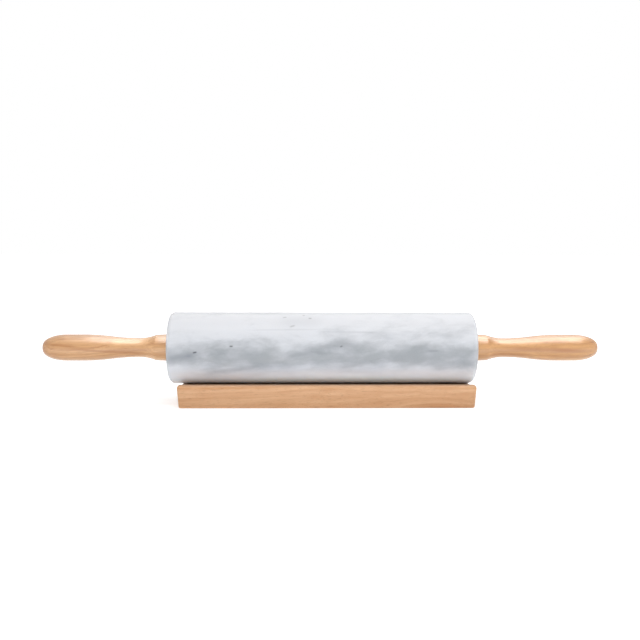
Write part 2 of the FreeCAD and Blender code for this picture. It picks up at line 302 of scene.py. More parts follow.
def turn_handle(name, node, face_x, turned):
    """Turn the template, ease its edges and set the handle on the axle."""
    wood = draw_template()
    bmesh.ops.spin(
        wood,
        geom=wood.verts[:] + wood.edges[:],
        cent=(0, 0, 0),
        axis=(1, 0, 0),
        angle=2 * math.pi,
        steps=TURNS,
        use_merge=True,
    )
    bmesh.ops.remove_doubles(wood, verts=wood.verts, dist=WELD)
    ease_ring(wood, FACE, FACE_EASE, FACE_STEPS)
    ease_ring(wood, SHOULDER, SHOULDER_EASE, SHOULDER_STEPS)
    place = Matrix.Translation((face_x, 0, axle_height)) @ Matrix.Rotation(turned, 4, "Z")
    bmesh.ops.transform(wood, matrix=place, verts=wood.verts)
    return finish_piece(wood, name, node, "axle")


# %% Turn both handles
right_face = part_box("right_handle")[0].x
left_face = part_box("left_handle")[1].x
right_handle = turn_handle("right_turned_handle", "right_handle", right_face, 0)
left_handle = turn_handle("left_turned_handle", "left_handle", left_face, math.pi)
print("handles start at", left_face, "and", right_face)

# %% [markdown]
# ## The stand
#
# The stand is one block of wood with a shallow round trough along its top for the barrel.
# Its sides and ends lean in a little towards the foot, and its lips, ends and foot are rounded.
# The section is drawn and extruded as a joiner runs a moulding, and two slanting cuts saw it
# to length. Cutting a box with a boolean would also work, but it leaves untidy faces.

# %% Sizes of the stand
STAND_HEIGHT = 18.4 * MM
STAND_MIDDLE = 3.6 * MM
HALF_LENGTH = 120 * MM
HALF_WIDTH = 32 * MM
FOOT_INSET = 1.3 * MM
HALF_TROUGH = 26 * MM
TROUGH_DEPTH = 3.1 * MM
SAW_SPARE = 5 * MM
TROUGH_STEPS = 24

trough_radius = HALF_TROUGH**2 / (2 * TROUGH_DEPTH) + TROUGH_DEPTH / 2
half_angle = math.asin(HALF_TROUGH / trough_radius)
print("trough of radius", trough_radius)

# %% Section of the stand
block = bmesh.new()
start = block.verts.new((0, -HALF_TROUGH, STAND_HEIGHT))
bmesh.ops.spin(
    block,
    geom=[start],
    cent=(0, 0, STAND_HEIGHT - TROUGH_DEPTH + trough_radius),
    axis=(1, 0, 0),
    angle=2 * half_angle,
    steps=TROUGH_STEPS,
)
pen = max(block.verts, key=lambda vertex: vertex.co.y)
outside = [
    (HALF_WIDTH, STAND_HEIGHT),
    (HALF_WIDTH - FOOT_INSET, 0),
    (FOOT_INSET - HALF_WIDTH, 0),
    (-HALF_WIDTH, STAND_HEIGHT),
]
for across, up in outside:
    pen = bmesh.ops.extrude_vert_indiv(block, verts=[pen])["verts"][0]
    pen.co = (0, across, up)
block.edges.new((pen, start))
section = bmesh.ops.contextual_create(block, geom=block.edges[:])["faces"]
print("section with", len(section[0].verts), "corners")

# %% Run the section and saw it to length
half_run = HALF_LENGTH + SAW_SPARE
bmesh.ops.translate(block, vec=(STAND_MIDDLE - half_run, 0, 0), verts=block.verts)
run = bmesh.ops.extrude_face_region(block, geom=section)["geom"]
far = [item for item in run if isinstance(item, bmesh.types.BMVert)]
bmesh.ops.translate(block, vec=(2 * half_run, 0, 0), verts=far)
for side in (-1, 1):
    everything = block.verts[:] + block.edges[:] + block.faces[:]
    cut = bmesh.ops.bisect_plane(
        block,
        geom=everything,
        plane_co=(STAND_MIDDLE + side * HALF_LENGTH, 0, STAND_HEIGHT),
        plane_no=(side * STAND_HEIGHT, 0, -FOOT_INSET),
        clear_outer=True,
    )["geom_cut"]
    sawn = [item for item in cut if isinstance(item, bmesh.types.BMEdge)]
    bmesh.ops.contextual_create(block, geom=sawn)
bmesh.ops.recalc_face_normals(block, faces=block.faces)
print("stand sawn to", 2 * HALF_LENGTH)


# %% Helpers that know the edges of the stand
FACES_END = 0.9


def is_lip(edge):
    """True for the long top edge on the outside of either lip."""
    return all(
        abs(abs(vertex.co.y) - HALF_WIDTH) < SAME_PLACE
        and abs(vertex.co.z - STAND_HEIGHT) < SAME_PLACE
        for vertex in edge.verts
    )


def is_end(edge):
    """True for an edge round either sawn end, apart from the one at the foot."""
    sawn_end = [face for face in edge.link_faces if abs(face.normal.x) > FACES_END]
    return len(sawn_end) == 1 and any(vertex.co.z > SAME_PLACE for vertex in edge.verts)


# %% Round the lips, the ends and the foot
# The lip stays rounder than the end by more than the frame, or the frame would fold there
LIP_ROUND = 3.2 * MM
END_ROUND = 2.4 * MM
EDGE_ROUND = 1.0 * MM
ROUND_STEPS = 6
EDGE_STEPS = 3
SHARP_ANGLE = math.radians(25)
BROAD_AREA = 400 * MM * MM
FACE_FRAME = 0.4 * MM

round_edges(block, [edge for edge in block.edges if is_lip(edge)], LIP_ROUND, ROUND_STEPS)
block.normal_update()
round_edges(block, [edge for edge in block.edges if is_end(edge)], END_ROUND, ROUND_STEPS)
sharp = [edge for edge in block.edges if edge.calc_face_angle(0) > SHARP_ANGLE]
round_edges(block, sharp, EDGE_ROUND, EDGE_STEPS)

# A narrow frame inside each large flat face keeps the shading of the rounded edges off it
broad = [face for face in block.faces if face.calc_area() > BROAD_AREA]
bmesh.ops.inset_individual(block, faces=broad, thickness=FACE_FRAME)
stand = finish_piece(block, "trough_stand", "wooden_stand", "stand")

# %% [markdown]
# ## Helpers for finishes
#
# All finishes are node trees. A few small helpers keep them readable: they place a node and
# give each input a value or a link, do a sum, ease a value from one range to another, mix two
# colours and make noise. Colours are written as they look on screen, from 0 to 255, and turned
# into the linear light that Blender works in.


# %% Helper that places a node
def put(tree, kind, inputs=None, **settings):
    """Place a node, set it, and give its inputs values or links."""
    node = tree.nodes.new("ShaderNode" + kind)
    for name, value in settings.items():
        setattr(node, name, value)
    for name, value in (inputs or {}).items():
        if isinstance(value, bpy.types.NodeSocket):
            tree.links.new(value, node.inputs[name])
        else:
            node.inputs[name].default_value = value
    return node


# %% Helpers for sums and blends
def sum_of(tree, operation, *values):
    """One Math node."""
    return put(tree, "Math", dict(enumerate(values)), operation=operation).outputs[0]


def vector_sum(tree, operation, *values):
    """One Vector Math node."""
    return put(tree, "VectorMath", dict(enumerate(values)), operation=operation).outputs[0]


def ease(tree, value, low, high, start=0.0, end=1.0):
    """Smooth step of a value from low to high."""
    inputs = {"Value": value, "From Min": low, "From Max": high, "To Min": start, "To Max": end}
    return put(tree, "MapRange", inputs, interpolation_type="SMOOTHSTEP").outputs[0]


def blend_colours(tree, factor, first, second):
    """One Mix node for colours; its colour sockets are the numbers 6 and 7."""
    inputs = {0: factor, 6: first, 7: second}
    return put(tree, "Mix", inputs, data_type="RGBA").outputs[2]


# %% Helpers for noise and colour
def noise(tree, position, stretch, detail=2.0, roughness=0.5, output="Fac"):
    """Noise on a position in millimetres, stretched by three scales."""
    scaled = vector_sum(tree, "MULTIPLY", position, stretch)
    inputs = {"Vector": scaled, "Scale": 1.0, "Detail": detail, "Roughness": roughness}
    return put(tree, "TexNoise", inputs).outputs[output]


def about_zero(tree, value, strength):
    """Noise lies about 0.5; this moves it about 0 and gives it a strength."""
    return sum_of(tree, "MULTIPLY", sum_of(tree, "SUBTRACT", value, 0.5), strength)


def swayed_by(tree, position, stretch, detail, reach):
    """A position pushed about by noise."""
    sway = noise(tree, position, stretch, detail=detail, output="Color")
    sway = vector_sum(tree, "SUBTRACT", sway, (0.5, 0.5, 0.5))
    return vector_sum(tree, "ADD", position, vector_sum(tree, "MULTIPLY", sway, reach))


def colour(red, green, blue):
    """A screen colour as linear light."""
    shares = [value / 255 for value in (red, green, blue)]
    light = [s / 12.92 if s <= 0.04045 else ((s + 0.055) / 1.055) ** 2.4 for s in shares]
    return (*light, 1.0)


print("screen grey 128 is linear", colour(128, 128, 128)[0])


# %% Helpers for materials and groups
def new_finish(name):
    """A material with one shader, and the position on the piece in millimetres."""
    finish = bpy.data.materials.new(name)
    finish.use_nodes = True
    tree = finish.node_tree
    shader = tree.nodes["Principled BSDF"]
    place = put(tree, "TexCoord").outputs["Object"]
    print("finish", name)
    return finish, tree, shader, place


def in_millimetres(tree, place, shift=(0, 0, 0), turn=(0, 0, 0)):
    """Object coordinates in millimetres, turned and then shifted."""
    angles = [math.radians(angle) for angle in turn]
    inputs = {"Vector": place, "Location": shift, "Rotation": angles, "Scale": (1000, 1000, 1000)}
    return put(tree, "Mapping", inputs).outputs[0]


def raise_marks(tree, shader, height, depth, strength):
    """Let a height show as relief on a finish."""
    inputs = {"Height": height, "Distance": depth, "Strength": strength}
    tree.links.new(put(tree, "Bump", inputs).outputs[0], shader.inputs["Normal"])


def new_group(name, inputs, outputs):
    """An empty node group with named sockets."""
    group = bpy.data.node_groups.new(name, "ShaderNodeTree")
    for side, sockets in (("INPUT", inputs), ("OUTPUT", outputs)):
        for label, kind in sockets.items():
            group.interface.new_socket(label, in_out=side, socket_type="NodeSocket" + kind)
    given = group.nodes.new("NodeGroupInput").outputs
    made = group.nodes.new("NodeGroupOutput").inputs
    return group, given, made


# %% [markdown]
# ## One soft stroke
#
# Both stone and wood have marks that run along a line and fade at their ends: a vein, a
# smudge, a darker streak. Each could be painted in its own way, but one node group can draw
# them all. It takes a place on the unrolled surface, the middle of the stroke, its lean, its
# half length and its half width, and gives a mask that is 1 in the middle and 0 outside.

# %% Stroke group
FADE_START = 0.25

stroke_group, given, made = new_group(
    "soft_stroke",
    {
        "Across and up": "Vector",
        "Middle": "Vector",
        "Lean": "Float",
        "Half length": "Float",
        "Half width": "Float",
    },
    {"Mask": "Float"},
)
tree = stroke_group
offset = vector_sum(tree, "SUBTRACT", given["Across and up"], given["Middle"])
turned = put(
    tree, "VectorRotate", {"Vector": offset, "Angle": given["Lean"]}, rotation_type="Z_AXIS"
).outputs[0]
parts = put(tree, "SeparateXYZ", {0: turned}).outputs
along = sum_of(tree, "DIVIDE", sum_of(tree, "ABSOLUTE", parts["X"]), given["Half length"])
across = sum_of(tree, "DIVIDE", sum_of(tree, "ABSOLUTE", parts["Y"]), given["Half width"])
fade_along = ease(tree, along, 1.0, FADE_START)
fade_across = ease(tree, across, 1.0, 0.0)
tree.links.new(sum_of(tree, "MULTIPLY", fade_along, fade_across), made["Mask"])
print("stroke group with", len(tree.nodes), "nodes")


# %% Helper that lays strokes on a surface
def lay_strokes(tree, surface, strokes):
    """Add up the masks of several strokes: middle, lean in degrees, half sizes, strength."""
    total = None
    for across, up, lean, half_length, half_width, strength in strokes:
        stroke = put(tree, "Group", node_tree=stroke_group)
        tree.links.new(surface, stroke.inputs["Across and up"])
        stroke.inputs["Middle"].default_value = (across, up, 0)
        stroke.inputs["Lean"].default_value = -math.radians(lean)
        stroke.inputs["Half length"].default_value = half_length
        stroke.inputs["Half width"].default_value = half_width
        mask = sum_of(tree, "MULTIPLY", stroke.outputs["Mask"], strength)
        total = mask if total is None else sum_of(tree, "ADD", total, mask)
    return total


# %% [markdown]
# ## Marble
#
# The stone is a white marble with a belt of bluish grey clouds along the barrel, a few thin
# veins and some small dark specks. Under the belt lies a cool painted shade, and lower still
# painted light makes the underside whiter. Solid noise alone gives clouds on every side, also
# over the rims. What makes this stone this stone is laid over it as strokes on the unrolled
# front: the distance along the axle, and the way round it. Noise then tears the edges of the
# broad strokes.

# %% Marble position and its unrolled surface
# A scale is the count of waves in a millimetre along, across and up
SWAY_SCALE = (0.03, 0.05, 0.05)
SWAY_REACH = (20, 9, 9)

marble, tree, shader, place = new_finish("clouded_marble")
position = in_millimetres(tree, place, shift=(0, 0, -axle_height / MM))


def unroll(tree, position):
    """Distance along the axle and way round it from the front, in millimetres."""
    parts = put(tree, "SeparateXYZ", {0: position}).outputs
    front = sum_of(tree, "MULTIPLY", parts["Y"], -1.0)
    round_axle = sum_of(tree, "ARCTAN2", parts["Z"], front)
    way_round = sum_of(tree, "MULTIPLY", round_axle, barrel_radius / MM)
    return put(tree, "CombineXYZ", {"X": parts["X"], "Y": way_round}).outputs[0]


swayed = swayed_by(tree, position, SWAY_SCALE, 4, SWAY_REACH)
torn = unroll(tree, swayed)
still = unroll(tree, position)
print("one turn of the stone is", math.tau * barrel_radius / MM, "mm round")

# %% Clouds, veins and grains through the stone
BED_LEAN = math.radians(5)
CLOUD_SCALE = (0.014, 0.045, 0.045)
CLOUD_STRENGTH = 1.7
MOTTLE_SCALE = (0.05, 0.11, 0.11)
MOTTLE_STRENGTH = 1.3
VEIN_SCALE = (0.012, 0.06, 0.06)
VEIN_WIDTH = 0.03
GRAIN_SCALE = (0.8, 0.8, 0.8)
GRAIN_STRENGTH = 0.10

leaning = put(
    tree, "VectorRotate", {"Vector": swayed, "Angle": BED_LEAN}, rotation_type="Y_AXIS"
).outputs[0]
cloud = noise(tree, leaning, CLOUD_SCALE, detail=6, roughness=0.6)
cloud = about_zero(tree, cloud, CLOUD_STRENGTH)
mottle = noise(tree, leaning, MOTTLE_SCALE, detail=4, roughness=0.55)
mottle = about_zero(tree, mottle, MOTTLE_STRENGTH)
ridge = noise(tree, leaning, VEIN_SCALE, detail=5, roughness=0.55)
ridge = sum_of(tree, "ABSOLUTE", sum_of(tree, "SUBTRACT", ridge, 0.5))
vein = ease(tree, ridge, VEIN_WIDTH, 0.0)
grain = noise(tree, position, GRAIN_SCALE, detail=2)
grain = about_zero(tree, grain, GRAIN_STRENGTH)
print("marble so far has", len(tree.nodes), "nodes")

# %% Belt of grey clouds
# Each stroke: along the axle, round from the front, lean, half length, half width, strength
BELT = [
    (-100, -1.5, 2, 50, 13, 0.60),
    (-68, -3, 2, 50, 16, 0.60),
    (-65, -17, 6, 60, 14, 0.35),
    (-85, -11, 5, 50, 10, 0.25),
    (-37, -3.5, 0, 45, 13, 0.40),
    (-20, -7, 0, 48, 14, 0.25),
    (4, -5, 0, 32, 15, 0.30),
    (20, -4, 2, 60, 17, 0.70),
    (14, 4, 12, 28, 9, 0.20),
    (50, -7, 0, 34, 13, 0.40),
    (62, -4, 0, 50, 17, 0.35),
    (100, -4.5, -1, 60, 17, 0.75),
    (90, 2, 0, 60, 11, 0.30),
    (50, 14.5, 0, 110, 9, 0.15),
    (-27, 5, 0, 30, 10, 0.50),
    (30, 5.5, 0, 24, 7, 0.25),
    (-118, 1.5, 0, 16, 8, 0.30),
    (108, -12, 0, 28, 9, 0.40),
]
belt = lay_strokes(tree, torn, BELT)
print("strokes in the belt:", len(BELT))

# %% Wisps in the belt, and the painted cool shade and painted underside light under it
WISPS = [
    (-112, -4.5, 8, 19, 8.0, 0.95),
    (-88, -0.5, 0, 22, 8.0, 0.10),
    (-71, -3.0, 5, 24, 8.0, 0.30),
    (-72, -14.5, 14, 28, 3.6, 0.45),
    (-17, -1.0, 9, 20, 7.0, 0.50),
    (14, 7.0, 16, 16, 5.0, 0.35),
    (15, -4.0, 0, 26, 14.0, 0.25),
    (20, -10.5, 17, 14, 4.0, 0.30),
    (57, -5.5, 3, 14, 7.0, 0.30),
    (92, -5.0, -3, 34, 10.0, 0.25),
    (112, -8.5, -4, 14, 7.0, 0.25),
]
# Painted cool shade below the belt, a darker and bluer colour standing in for shade
PAINTED_COOL_SHADE = [
    (-75, -15, 0, 75, 11, 0.25),
    (0, -15, 0, 75, 11, 0.25),
    (75, -15, 0, 75, 11, 0.20),
]
# Painted light on the underside, which makes the lower stone whiter
PAINTED_UNDERSIDE_LIGHT = [
    (-75, -30, 0, 80, 11, 0.70),
    (0, -29, 0, 80, 12, 0.85),
    (75, -29, 0, 80, 12, 1.00),
]
wisps = lay_strokes(tree, torn, WISPS)
painted_cool_shade = lay_strokes(tree, torn, PAINTED_COOL_SHADE)
painted_underside_light = lay_strokes(tree, torn, PAINTED_UNDERSIDE_LIGHT)
print("wisps:", len(WISPS))

# %% Thin lines and dark specks
LINES = [
    (-29.5, 18.8, 0.5, 40, 1.3, 0.14),
    (24, 16.6, -1, 38, 1.4, 0.15),
    (-18, 29, 4, 26, 14, 0.12),
    (88, 1.2, 2, 7, 1.5, 0.40),
]
SPECKS = [
    (-101.6, -0.1, 10, 2.2, 1.2, 0.85),
    (-72.8, 4.8, 0, 1.9, 1.1, 0.80),
    (14.7, 4.8, 20, 1.6, 1.0, 0.55),
    (-10.1, 31.4, 0, 1.8, 1.4, 0.40),
    (-15.2, 36.0, 0, 1.5, 1.2, 0.35),
    (-24.3, 22.2, 20, 3.0, 1.4, 0.30),
    (-30.7, 32.8, 10, 2.2, 1.5, 0.30),
]
lines = lay_strokes(tree, still, LINES)
specks = lay_strokes(tree, still, SPECKS)
print("lines:", len(LINES), "and specks:", len(SPECKS))

# %% Marble colours
WHITE_STONE = colour(224, 225, 229)
GREY_STONE = colour(162, 165, 169)
# The next two are the colours of the painted cool shade and of the painted underside light
COOL_SHADE_STONE = colour(168, 180, 196)
UNDERSIDE_LIGHT_STONE = colour(230, 242, 253)
DARK_STONE = colour(132, 136, 143)
SPECK_STONE = colour(62, 64, 70)
HAZE_RANGE = (-0.1, 1.3)
WISP_STRENGTH = 0.8
VEIN_STRENGTH = 0.14

field = sum_of(tree, "ADD", belt, cloud)
field = sum_of(tree, "ADD", field, mottle)
haze = ease(tree, field, *HAZE_RANGE)
dark = sum_of(tree, "MULTIPLY_ADD", wisps, WISP_STRENGTH, lines)
vein_strength = sum_of(tree, "MULTIPLY", haze, VEIN_STRENGTH)
dark = sum_of(tree, "ADD", dark, sum_of(tree, "MULTIPLY", vein, vein_strength))
haze = sum_of(tree, "ADD", haze, grain)
stone_colour = blend_colours(tree, haze, WHITE_STONE, GREY_STONE)
# Painted cool shade, then painted light on the underside
stone_colour = blend_colours(tree, painted_cool_shade, stone_colour, COOL_SHADE_STONE)
stone_colour = blend_colours(tree, painted_underside_light, stone_colour, UNDERSIDE_LIGHT_STONE)
stone_colour = blend_colours(tree, dark, stone_colour, DARK_STONE)
stone_colour = blend_colours(tree, specks, stone_colour, SPECK_STONE)
tree.links.new(stone_colour, shader.inputs["Base Color"])
print("from white to grey over", HAZE_RANGE)

# %% Polish of the marble
# Some of the light goes into the stone and comes out again close by
POLISH_RANGE = (0.38, 0.46)
LIGHT_SHARE = 0.5
LIGHT_TINT = (1.0, 0.95, 0.9)
LIGHT_REACH = 5 * MM

polish = ease(tree, haze, 0.0, 1.0, *POLISH_RANGE)
tree.links.new(polish, shader.inputs["Roughness"])
shader.inputs["Subsurface Weight"].default_value = LIGHT_SHARE
shader.inputs["Subsurface Radius"].default_value = LIGHT_TINT
shader.inputs["Subsurface Scale"].default_value = LIGHT_REACH
barrel.data.materials.append(marble)
print("marble has", len(tree.nodes), "nodes")

# %% [markdown]
# ## Hardwood
#
# Handles and stand are a pale, close grained hardwood. A board's pattern comes from the tree:
# growth rings about the pith, long fibres, and short dark pores. A flat stripe texture would
# wrap round a handle like paper, so the group works on solid wood: rings about a line beside
# the piece, which the lathe or the saw then lays bare, with true end grain at the ends.

# %% Hardwood group
GROWTH_SCALE = (0.010, 0.035, 0.035)
GROWTH_REACH = (0, 14, 14)
LATE_WOOD = (0.15, 0.88)
YEAR_END = (1.0, 0.9)
YEAR_RANGE = (-0.4, 1.0)

hardwood, given, made = new_group(
    "hardwood_grain",
    {
        "Position": "Vector",
        "Ring spacing": "Float",
        "Pale wood": "Color",
        "Dark wood": "Color",
        "Pore colour": "Color",
    },
    {"Colour": "Color", "Roughness": "Float", "Height": "Float"},
)
tree = hardwood
position = given["Position"]
grown = swayed_by(tree, position, GROWTH_SCALE, 3, GROWTH_REACH)
from_pith = vector_sum(tree, "MULTIPLY", grown, (0, 1, 1))
from_pith = put(tree, "VectorMath", {0: from_pith}, operation="LENGTH").outputs["Value"]
years = sum_of(tree, "DIVIDE", from_pith, given["Ring spacing"])
season = sum_of(tree, "FRACT", years)
year = put(tree, "TexWhiteNoise", {"W": sum_of(tree, "FLOOR", years)}, noise_dimensions="1D")
ring = sum_of(tree, "MULTIPLY", ease(tree, season, *LATE_WOOD), ease(tree, season, *YEAR_END))
ring = sum_of(tree, "MULTIPLY", ring, ease(tree, year.outputs["Value"], *YEAR_RANGE))
print("growth rings take", len(tree.nodes), "nodes")

# %% Streaks, fibres and pores
TONE_SCALE = (0.006, 0.05, 0.05)
STREAK_SCALE = (0.010, 0.32, 0.32)
FIBRE_SCALE = (0.022, 0.9, 0.9)
PORE_SCALE = (0.16, 3.0, 3.0)
PORE_EDGE = (0.60, 0.70)

tone = noise(tree, grown, TONE_SCALE, detail=2)
streak = noise(tree, grown, STREAK_SCALE, detail=3, roughness=0.55)
fibre = noise(tree, grown, FIBRE_SCALE, detail=3, roughness=0.6)
pore = ease(tree, noise(tree, grown, PORE_SCALE, detail=1), *PORE_EDGE)
print("rings, streaks, fibres and pores take", len(tree.nodes), "nodes")

# %% Hardwood colours, polish and relief
MEAN_DEPTH = 0.26
RING_STRENGTH = 0.32
STREAK_STRENGTH = 1.5
TONE_STRENGTH = 0.9
FIBRE_STRENGTH = 0.9
PORE_STRENGTH = 0.35
FIBRE_RANGE = (0.3, 0.7)
WOOD_POLISH = (0.36, 0.44)
PORE_DULLNESS = 0.12
FIBRE_HEIGHT = 0.6
PORE_HEIGHT = -1.0

depth = sum_of(tree, "MULTIPLY", ring, RING_STRENGTH)
layers = ((streak, STREAK_STRENGTH), (tone, TONE_STRENGTH), (fibre, FIBRE_STRENGTH))
for layer, strength in layers:
    depth = sum_of(tree, "ADD", depth, about_zero(tree, layer, strength))
depth = sum_of(tree, "ADD", depth, MEAN_DEPTH)
wood_colour = blend_colours(tree, depth, given["Pale wood"], given["Dark wood"])
pores = sum_of(tree, "MULTIPLY", pore, PORE_STRENGTH)
wood_colour = blend_colours(tree, pores, wood_colour, given["Pore colour"])
tree.links.new(wood_colour, made["Colour"])
rough = ease(tree, fibre, *FIBRE_RANGE, *WOOD_POLISH)
rough = sum_of(tree, "MULTIPLY_ADD", pore, PORE_DULLNESS, rough)
tree.links.new(rough, made["Roughness"])
height = sum_of(tree, "MULTIPLY", fibre, FIBRE_HEIGHT)
height = sum_of(tree, "MULTIPLY_ADD", pore, PORE_HEIGHT, height)
tree.links.new(height, made["Height"])
print("hardwood group with", len(tree.nodes), "nodes")

# %% [markdown]
# ## Handles and stand in hardwood
#
# Each piece comes from its own place in a tree, so each has its own pith, ring spacing and
# shades. Some marks are laid over the wood: a few long dark streaks, tips a shade darker at
# their ends, and painted shade in the trough of the stand under the stone. A second material
# would stop the grain at its edge, so they are soft strokes over the grain, seen from the
# front for the handles and from above for the trough.


# %% Helper that dresses a piece in hardwood
PORE_WOOD = colour(150, 98, 56)
STREAK_WOOD = colour(172, 112, 58)
# The next colour is the painted shade in the trough under the stone
TROUGH_SHADE_WOOD = colour(120, 80, 50)
TROUGH_SKIN = (13.5, 15.0)
GRAIN_DEPTH = 0.06 * MM
GRAIN_RELIEF = 0.5
LACQUER_ROUGHNESS = 0.26


def dress_in_hardwood(name, piece, shift, turn, spacing, pale, dark, gloss, streaks=(), painted_trough_shade=()):
    """Solid hardwood whose pith lies beside the piece, under a satin lacquer."""
    finish, tree, shader, place = new_finish(name)
    grain = put(tree, "Group", node_tree=hardwood)
    position = in_millimetres(tree, place, shift, turn)
    tree.links.new(position, grain.inputs["Position"])
    grain.inputs["Ring spacing"].default_value = spacing
    grain.inputs["Pale wood"].default_value = pale
    grain.inputs["Dark wood"].default_value = dark
    grain.inputs["Pore colour"].default_value = PORE_WOOD
    wood_colour = grain.outputs["Colour"]
    parts = put(tree, "SeparateXYZ", {0: in_millimetres(tree, place)}).outputs
    if streaks:
        front_view = put(tree, "CombineXYZ", {"X": parts["X"], "Y": parts["Z"]}).outputs[0]
        shade = lay_strokes(tree, front_view, streaks)
        wood_colour = blend_colours(tree, shade, wood_colour, STREAK_WOOD)
    # Painted shade: the trough under the stone is darkened in the colour
    if painted_trough_shade:
        top_view = put(tree, "CombineXYZ", {"X": parts["X"], "Y": parts["Y"]}).outputs[0]
        shade = lay_strokes(tree, top_view, painted_trough_shade)
        shade = sum_of(tree, "MULTIPLY", shade, ease(tree, parts["Z"], *TROUGH_SKIN))
        wood_colour = blend_colours(tree, shade, wood_colour, TROUGH_SHADE_WOOD)
    tree.links.new(wood_colour, shader.inputs["Base Color"])
    tree.links.new(grain.outputs["Roughness"], shader.inputs["Roughness"])
    raise_marks(tree, shader, grain.outputs["Height"], GRAIN_DEPTH, GRAIN_RELIEF)
    shader.inputs["Coat Weight"].default_value = gloss
    shader.inputs["Coat Roughness"].default_value = LACQUER_ROUGHNESS
    piece.data.materials.append(finish)


# %% Left handle
# Streaks, and the painted shade in the stand's trough, are strokes, as on the stone
dress_in_hardwood(
    "left_handle_hardwood",
    left_handle,
    shift=(0, 46, -90),
    turn=(0, 2.5, 1),
    spacing=5.5,
    pale=colour(228, 178, 126),
    dark=colour(176, 118, 64),
    gloss=1.0,
    streaks=[
        (-174, 42.8, -4, 50, 1.7, 0.75),
        (-212, 47.6, -5, 22, 1.6, 0.6),
        (-222, 40.5, 0, 18, 6, 0.3),
        # This stroke darkens the tip of the handle
        (-231, 44.9, 90, 24, 8, 1.0),
    ],
)

# %% Right handle
dress_in_hardwood(
    "right_handle_hardwood",
    right_handle,
    shift=(0, -30, 60),
    turn=(0, 0.5, -1),
    spacing=6,
    pale=colour(216, 162, 106),
    dark=colour(168, 110, 52),
    gloss=1.0,
    streaks=[
        (185, 44.2, -1, 46, 3.2, 0.7),
        (205, 44.0, 0, 20, 3.0, 0.4),
        # This stroke darkens the tip of the handle
        (231, 44.9, 90, 24, 6, 0.45),
    ],
)

# %% Stand
dress_in_hardwood(
    "stand_hardwood",
    stand,
    shift=(0, 52, 26),
    turn=(0, 1.2, 3.0),
    spacing=4.5,
    pale=colour(226, 179, 136),
    dark=colour(202, 145, 98),
    gloss=0.3,
    # Painted shade in the trough, under the stone
    painted_trough_shade=[(3.6, 0, 0, 480, 30, 0.4)],
)

# %% [markdown]
# ## Metal and plastic
#
# Inside the pin are a drawn steel axle, two zinc plated washers, two brass inserts and two
# nylon bushings. Only the rims of the washers and bushings show, in the narrow gap beside
# the stone. Their CAD solids have the right shape, so they stay and only get finishes. The
# metals share one group of fine tool marks: lines along a drawn rod, rings on a turned face.

# %% Tool mark group
MARK_RANGE = (0.25, 0.75)
MARK_DULLNESS = 0.1

tool_marks, given, made = new_group(
    "tool_marks",
    {"Position": "Vector", "Low polish": "Float"},
    {"Shade": "Float", "Roughness": "Float", "Height": "Float"},
)
tree = tool_marks
lines = noise(tree, given["Position"], (1, 1, 1), detail=3, roughness=0.6)
tree.links.new(ease(tree, lines, *MARK_RANGE), made["Shade"])
rough = sum_of(tree, "MULTIPLY_ADD", lines, MARK_DULLNESS, given["Low polish"])
tree.links.new(rough, made["Roughness"])
tree.links.new(lines, made["Height"])
print("tool mark group with", len(tree.nodes), "nodes")


# %% Helper for metals
LINE_SCALE = (0.05, 6.0, 6.0)
RING_SCALE = (8.0, 8.0, 8.0)
MARK_DEPTH = 0.01 * MM
MARK_RELIEF = 0.3


def metal_finish(name, marks, low, bright, dull):
    """A metal with fine tool marks, whose position is stretched to make lines or rings."""
    finish, tree, shader, place = new_finish(name)
    position = in_millimetres(tree, place, shift=(0, 0, -axle_height / MM))
    parts = put(tree, "SeparateXYZ", {0: position}).outputs
    out = put(tree, "CombineXYZ", {"Y": parts["Y"], "Z": parts["Z"]}).outputs[0]
    out = put(tree, "VectorMath", {0: out}, operation="LENGTH").outputs["Value"]
    rings = put(tree, "CombineXYZ", {"X": parts["X"], "Y": out}).outputs[0]
    source = position if marks == "lines" else rings
    stretch = LINE_SCALE if marks == "lines" else RING_SCALE
    group = put(tree, "Group", node_tree=tool_marks)
    tree.links.new(vector_sum(tree, "MULTIPLY", source, stretch), group.inputs["Position"])
    group.inputs["Low polish"].default_value = low
    metal_colour = blend_colours(tree, group.outputs["Shade"], bright, dull)
    tree.links.new(metal_colour, shader.inputs["Base Color"])
    tree.links.new(group.outputs["Roughness"], shader.inputs["Roughness"])
    raise_marks(tree, shader, group.outputs["Height"], MARK_DEPTH, MARK_RELIEF)
    shader.inputs["Metallic"].default_value = 1.0
    return finish


# %% Metals on their pieces
STEEL = (colour(200, 201, 204), colour(172, 173, 177))
ZINC = (colour(214, 216, 220), colour(186, 189, 194))
BRASS = (colour(226, 190, 110), colour(198, 156, 78))


def dress_nodes(finish, *nodes):
    """Give CAD nodes a finish in place of their plain one."""
    for name in nodes:
        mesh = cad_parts[name].data
        mesh.materials.clear()
        mesh.materials.append(finish)
    print(finish.name, "on", nodes)


dress_nodes(metal_finish("drawn_steel", "lines", 0.22, *STEEL), "axle_rod")
dress_nodes(metal_finish("zinc_plate", "rings", 0.30, *ZINC), "left_washer", "right_washer")
dress_nodes(metal_finish("turned_brass", "rings", 0.20, *BRASS), "left_insert", "right_insert")

# %% Nylon
NYLON = (colour(240, 239, 233), colour(228, 226, 218))
NYLON_SCALE = (0.4, 0.4, 0.4)
NYLON_RANGE = (0.3, 0.7)
NYLON_POLISH = (0.45, 0.55)
SKIN_SCALE = (3, 3, 3)
SKIN_DEPTH = 0.02 * MM
SKIN_RELIEF = 0.3

